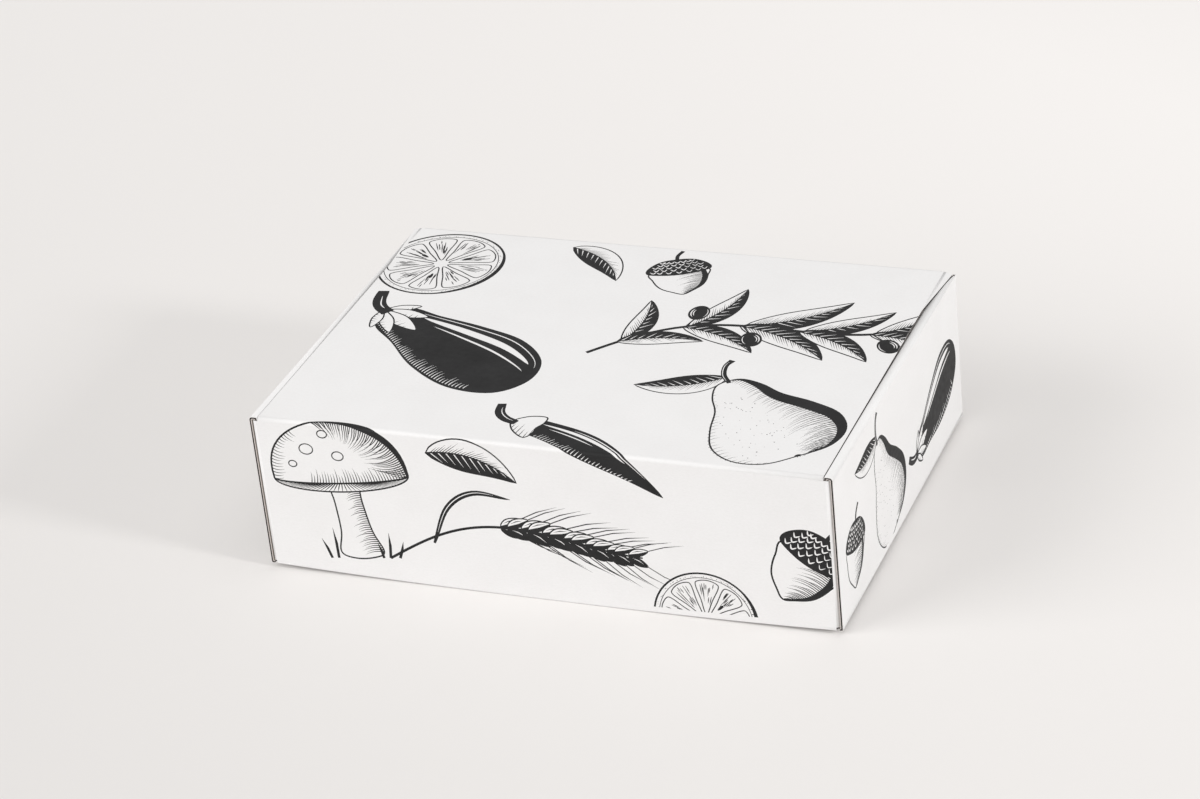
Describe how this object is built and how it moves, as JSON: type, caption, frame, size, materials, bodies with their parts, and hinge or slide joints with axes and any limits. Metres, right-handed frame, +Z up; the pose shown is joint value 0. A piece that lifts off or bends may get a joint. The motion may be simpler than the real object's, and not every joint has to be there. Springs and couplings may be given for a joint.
{
  "type": "roll-end mailer box",
  "caption": "Shallow corrugated mailer box folded from a printed white blank, with rolled side walls and a hinged lid whose tuck flap and ears slip in behind the front wall.",
  "frame": {"origin": "middle of the base's underside", "axes": "+Z up, -Y towards the hinge wall, +Y towards the front wall that the lid tucks behind, +X along the width"},
  "size_m": [0.34, 0.24, 0.0992],
  "materials": {
    "white_board": "white coated paper outside with charcoal line print, grey-brown board inside and at the cut edges"
  },
  "bodies": {
    "tray": {"tray": "white_board"},
    "lid": {"lid": "white_board"}
  },
  "joints": [
    {"name": "lid_hinge", "type": "hinge", "parent": "tray", "child": "lid", "pos_m": [0, -0.11941, 0.09741], "axis": [1, 0, 0], "range_deg": [0, 180]}
  ]
}
